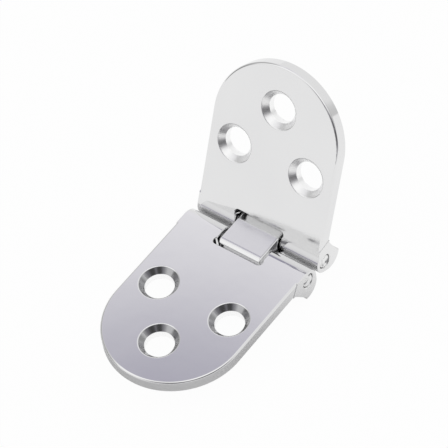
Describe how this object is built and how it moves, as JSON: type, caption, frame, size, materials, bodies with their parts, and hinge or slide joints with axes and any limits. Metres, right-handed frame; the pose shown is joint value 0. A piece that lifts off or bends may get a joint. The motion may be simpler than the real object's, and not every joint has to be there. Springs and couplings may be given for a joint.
{
  "type": "folding table hinge",
  "caption": "Chrome table hinge with round-ended, countersunk leaves that fold on pins through a bridge link set flush in their butt edges.",
  "frame": {"origin": "on the fixed leaf's back, midway between its pair of screw holes", "axes": "+X along the pins, +Y from the fixed leaf's tip towards the moving leaf, +Z out of the fixed leaf's face"},
  "size_m": [0.0302, 0.06, 0.0406],
  "materials": {
    "leaf_chrome": "polished chrome plate",
    "link_chrome": "polished chrome plate",
    "pin_steel": "bright steel"
  },
  "bodies": {
    "fixed_leaf": {"fixed_leaf": "leaf_chrome", "fixed_leaf_pin": "pin_steel"},
    "link": {"bridge_link": "link_chrome"},
    "moving_leaf": {"moving_leaf": "leaf_chrome", "moving_leaf_pin": "pin_steel"}
  },
  "joints": [
    {"name": "link_pivot", "type": "hinge", "parent": "fixed_leaf", "child": "link", "pos_m": [0, 0.01755, 0.00005], "axis": [1, 0, 0], "range_deg": [0, 90]},
    {"name": "leaf_pivot", "type": "hinge", "parent": "link", "child": "moving_leaf", "pos_m": [0, 0.02325, 0.00005], "axis": [1, 0, 0], "range_deg": [-65.6, 24.4]}
  ]
}
